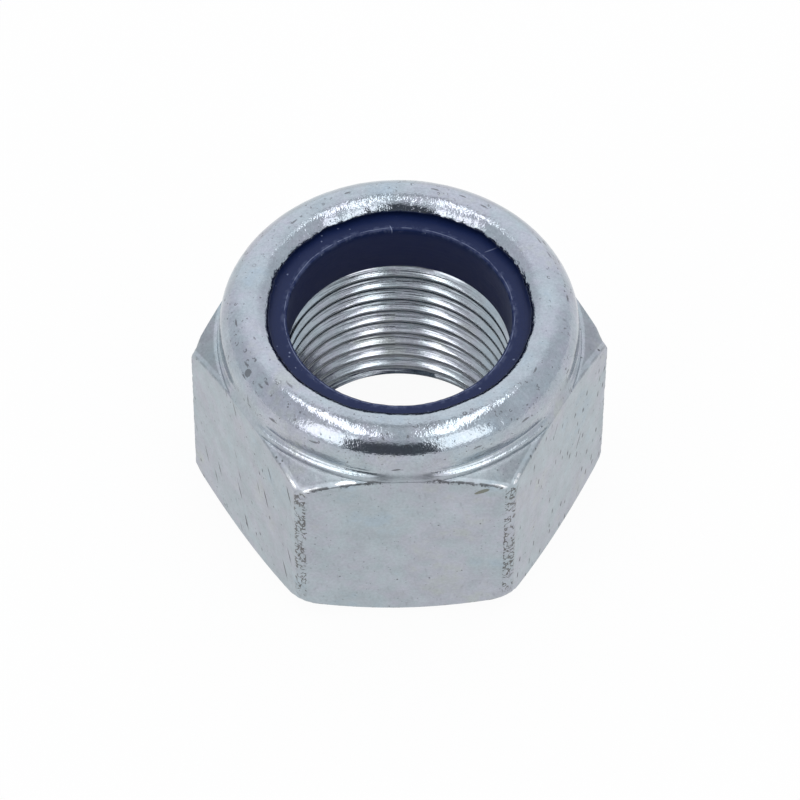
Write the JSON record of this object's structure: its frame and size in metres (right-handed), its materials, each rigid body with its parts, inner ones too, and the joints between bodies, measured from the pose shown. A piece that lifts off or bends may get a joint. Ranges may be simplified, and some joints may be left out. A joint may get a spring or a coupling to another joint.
{
  "type": "nylon insert lock nut",
  "caption": "Hexagon lock nut in zinc plated steel, its round collar turned over a blue nylon ring that grips the bolt.",
  "frame": {"origin": "centre of the bearing face at the nut's foot, on the thread's axis", "axes": "+Z along the thread's axis from the bearing face to the collar; two flats face -Y and +Y, and two corners lie on the X axis"},
  "size_m": [0.0342, 0.03, 0.022],
  "materials": {
    "plated_steel": "bright zinc plating over cold forged steel, satin, with a faint blue cast",
    "blue_nylon": "dark blue nylon, satin, solid colour"
  },
  "bodies": {
    "root": {"nut_body": "plated_steel", "locking_ring": "blue_nylon"}
  },
  "joints": []
}
